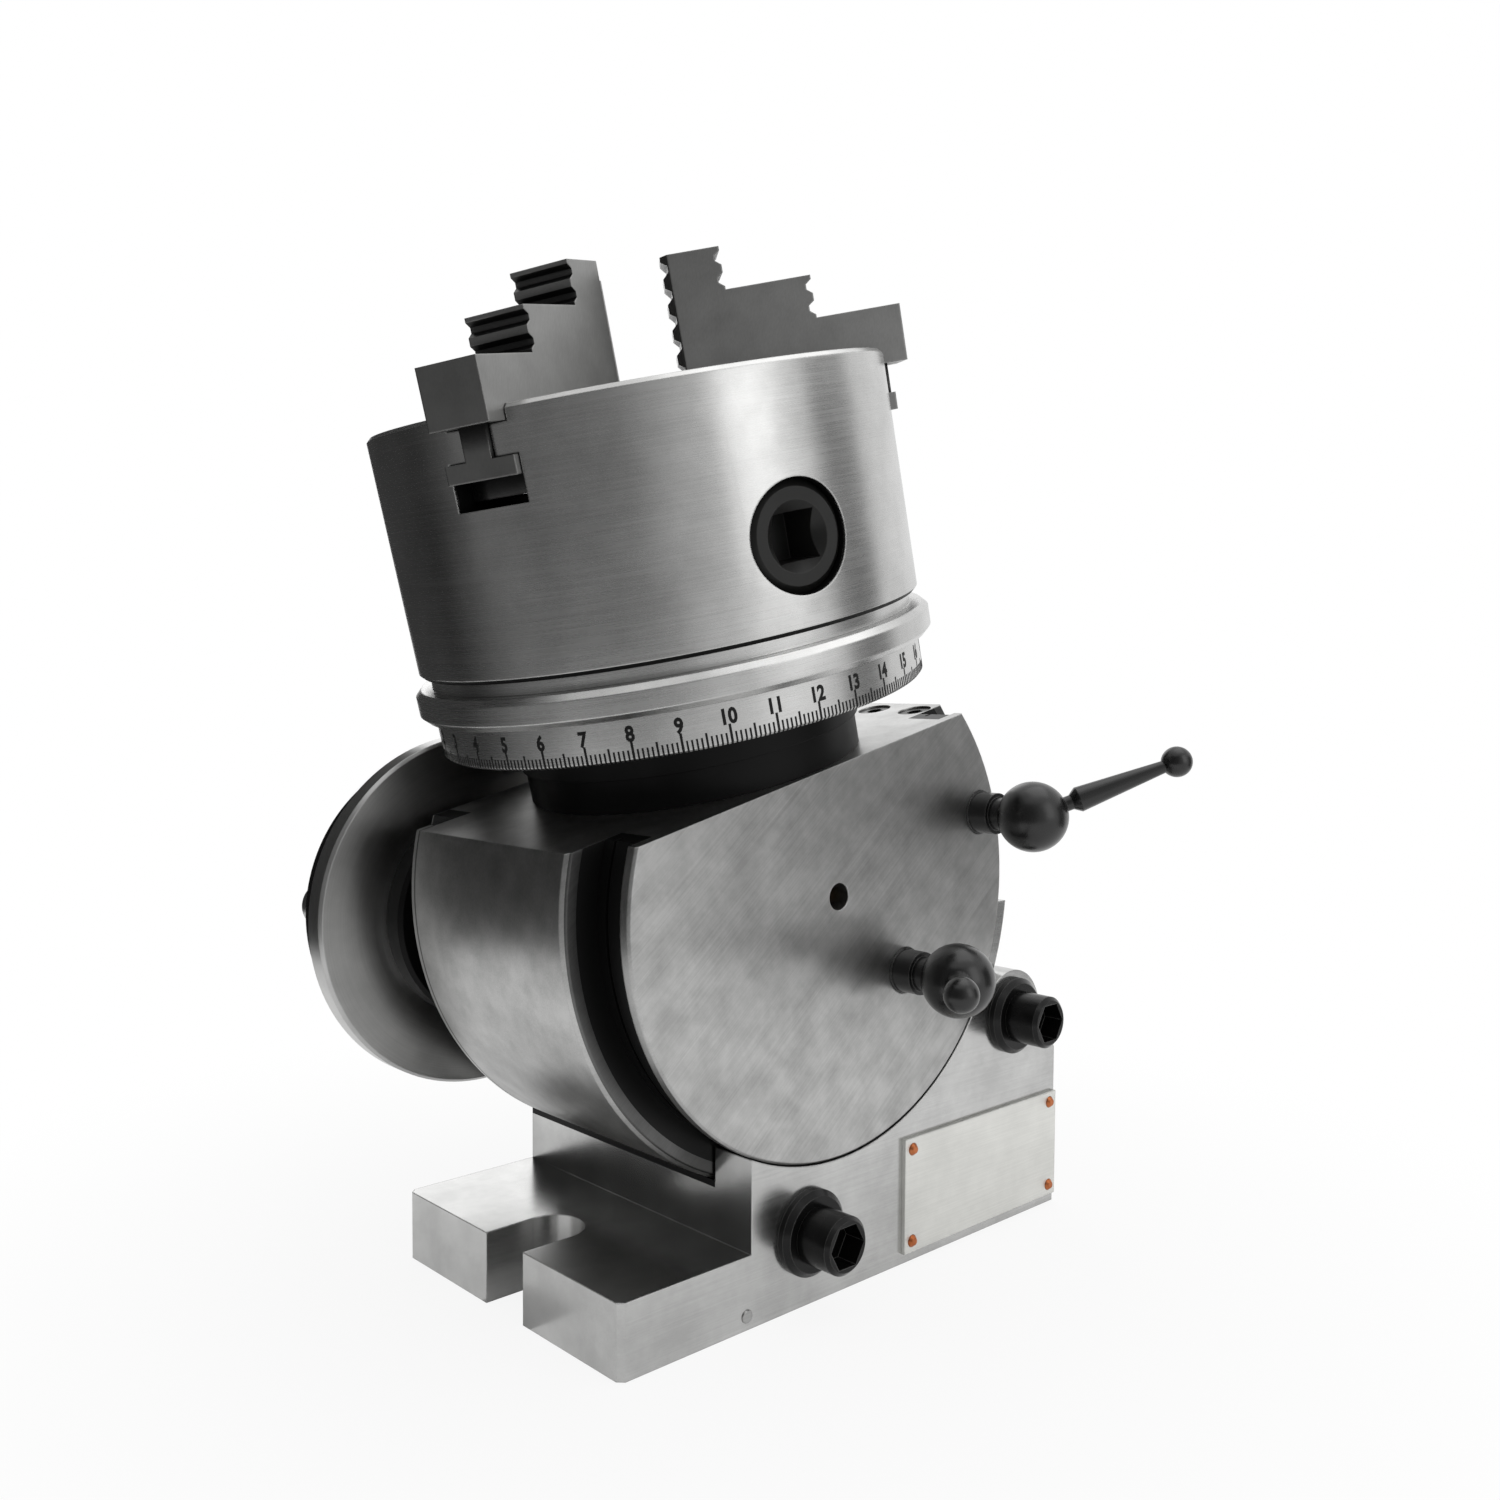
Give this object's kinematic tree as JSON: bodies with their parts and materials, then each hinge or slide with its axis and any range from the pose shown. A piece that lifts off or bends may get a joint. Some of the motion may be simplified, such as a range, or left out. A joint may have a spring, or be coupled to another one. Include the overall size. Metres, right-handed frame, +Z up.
{
  "type": "dividing head",
  "caption": "Semi-universal dividing head: slotted base, tilting drum body, indexed spindle with a graduated dial and a self-centring jaw chuck, worm crank with index plate, ball levers.",
  "frame": {"origin": "on the base's bottom face, under the tilt axis, at mid-width", "axes": "+X along the base away from the open foot slot, +Y towards the index plate, +Z up"},
  "size_m": [0.1934, 0.2006, 0.2611],
  "materials": {
    "ground_casting": "ground and brushed",
    "turned_steel": "turned, satin",
    "hardened_steel": "hardened, ground, grey",
    "black_oxide": "blackened, semi-gloss",
    "black_boss": "satin black",
    "bronze": "machined",
    "copper": "polished copper",
    "plate_aluminium": "satin",
    "black_grip": "moulded, gloss"
  },
  "bodies": {
    "base": {"base": "ground_casting", "nameplate": "plate_aluminium", "nameplate_rivets": "copper", "base_plug": "turned_steel", "clamp_washers": "black_oxide", "clamp_cotters": "turned_steel"},
    "clamp_screw_left": {"clamp_screw_left": "black_oxide"},
    "clamp_screw_right": {"clamp_screw_right": "black_oxide"},
    "head": {"head_body": "ground_casting", "flat_screws": "black_oxide", "bearing_carrier": "black_boss", "dust_ring": "black_boss", "front_bush": "bronze", "rear_bush": "bronze", "tail_cover": "turned_steel", "worm_housing": "black_boss", "index_plate": "turned_steel", "index_plate_screws": "black_oxide"},
    "spindle": {"spindle": "turned_steel", "spindle_nut": "black_oxide", "worm_wheel": "bronze", "index_dial": "turned_steel", "chuck_backplate": "turned_steel", "chuck_bolts": "black_oxide", "chuck_body": "turned_steel", "chuck_cover": "turned_steel", "chuck_cover_screws": "black_oxide"},
    "scroll": {"scroll": "hardened_steel"},
    "jaw_1": {"jaw_1": "hardened_steel"},
    "jaw_2": {"jaw_2": "hardened_steel"},
    "jaw_3": {"jaw_3": "hardened_steel"},
    "chuck_pinion_1": {"chuck_pinion_1": "black_oxide"},
    "chuck_pinion_2": {"chuck_pinion_2": "black_oxide"},
    "chuck_pinion_3": {"chuck_pinion_3": "black_oxide"},
    "worm": {"worm_shaft": "turned_steel", "crank_disc": "black_oxide", "crank_nut": "black_oxide", "plunger_bush": "turned_steel", "crank_grip_screw": "turned_steel"},
    "crank_grip": {"crank_grip": "black_grip"},
    "index_plunger": {"index_plunger": "hardened_steel"},
    "sector_arms": {"sector_arm_near": "turned_steel", "sector_arm_far": "turned_steel"},
    "lock_lever": {"lock_lever": "black_oxide", "lock_shaft": "black_oxide"},
    "brake_shoe": {"brake_shoe": "bronze"},
    "release_lever": {"release_lever": "black_oxide", "release_shaft": "black_oxide"}
  },
  "joints": [
    {"name": "head_tilt", "type": "hinge", "parent": "base", "child": "head", "pos_m": [0, 0, 0.1], "axis": [0, 1, 0], "range_deg": [-86, 14]},
    {"name": "spindle_spin", "type": "hinge", "parent": "head", "child": "spindle", "pos_m": [0, 0, 0.1], "axis": [-0.2419, 0, 0.9703], "continuous": true},
    {"name": "worm_turn", "type": "hinge", "parent": "head", "child": "worm", "pos_m": [-0.04233, 0, 0.08996], "axis": [0, 1, 0], "continuous": true},
    {"name": "crank_grip_spin", "type": "hinge", "parent": "worm", "child": "crank_grip", "pos_m": [-0.00933, 0.08, 0.08996], "axis": [0, 1, 0], "continuous": true},
    {"name": "plunger_pull", "type": "slide", "parent": "worm", "child": "index_plunger", "axis": [0, 1, 0], "range_m": [-0.0065, 0]},
    {"name": "sector_arms_turn", "type": "hinge", "parent": "head", "child": "sector_arms", "pos_m": [-0.04233, 0, 0.08996], "axis": [0, 1, 0], "range_deg": [-50, 230]},
    {"name": "lock_lever_turn", "type": "hinge", "parent": "head", "child": "lock_lever", "pos_m": [0.05609, 0, 0.11769], "axis": [0, 1, 0], "range_deg": [-40, 20]},
    {"name": "brake_press", "type": "slide", "parent": "head", "child": "brake_shoe", "axis": [-0.9703, 0, -0.2419], "range_m": [-0.0002, 0.0004]},
    {"name": "release_lever_turn", "type": "hinge", "parent": "head", "child": "release_lever", "pos_m": [0.02533, 0, 0.07818], "axis": [0, 1, 0], "range_deg": [-20, 70]},
    {"name": "clamp_screw_left_turn", "type": "hinge", "parent": "base", "child": "clamp_screw_left", "pos_m": [-0.00974, 0, 0.01828], "axis": [0, 1, 0], "range_deg": [-180, 0]},
    {"name": "clamp_screw_right_turn", "type": "hinge", "parent": "base", "child": "clamp_screw_right", "pos_m": [0.07214, 0, 0.05885], "axis": [0, 1, 0], "range_deg": [-180, 0]},
    {"name": "scroll_turn", "type": "hinge", "parent": "spindle", "child": "scroll", "pos_m": [0, 0, 0.1], "axis": [-0.2419, 0, 0.9703], "range_deg": [-792, 1008]},
    {"name": "jaw_1_slide", "type": "slide", "parent": "spindle", "child": "jaw_1", "axis": [-0.9088, -0.3502, -0.2266], "range_m": [-0.011, 0.014]},
    {"name": "pinion_1_turn", "type": "hinge", "parent": "spindle", "child": "chuck_pinion_1", "pos_m": [-0.02185, 0, 0.18762], "axis": [-0.1601, -0.9863, -0.0399], "range_deg": [-5040, 3960]},
    {"name": "jaw_2_slide", "type": "slide", "parent": "spindle", "child": "jaw_2", "axis": [0.7487, -0.6361, 0.1867], "range_m": [-0.011, 0.014]},
    {"name": "pinion_2_turn", "type": "hinge", "parent": "spindle", "child": "chuck_pinion_2", "pos_m": [-0.02185, 0, 0.18762], "axis": [0.9088, 0.3502, 0.2266], "range_deg": [-5040, 3960]},
    {"name": "jaw_3_slide", "type": "slide", "parent": "spindle", "child": "jaw_3", "axis": [0.1601, 0.9863, 0.0399], "range_m": [-0.011, 0.014]},
    {"name": "pinion_3_turn", "type": "hinge", "parent": "spindle", "child": "chuck_pinion_3", "pos_m": [-0.02185, 0, 0.18762], "axis": [-0.7487, 0.6361, -0.1867], "range_deg": [-5040, 3960]}
  ],
  "couplings": [
    {"joint": "worm_turn", "follows": "spindle_spin", "ratio": 40},
    {"joint": "brake_press", "follows": "lock_lever_turn", "m_per_rad": -0.0005},
    {"joint": "jaw_1_slide", "follows": "scroll_turn", "m_per_rad": 0.00079577},
    {"joint": "pinion_1_turn", "follows": "scroll_turn", "ratio": -5},
    {"joint": "jaw_2_slide", "follows": "scroll_turn", "m_per_rad": 0.00079577},
    {"joint": "pinion_2_turn", "follows": "scroll_turn", "ratio": -5},
    {"joint": "jaw_3_slide", "follows": "scroll_turn", "m_per_rad": 0.00079577},
    {"joint": "pinion_3_turn", "follows": "scroll_turn", "ratio": -5}
  ]
}
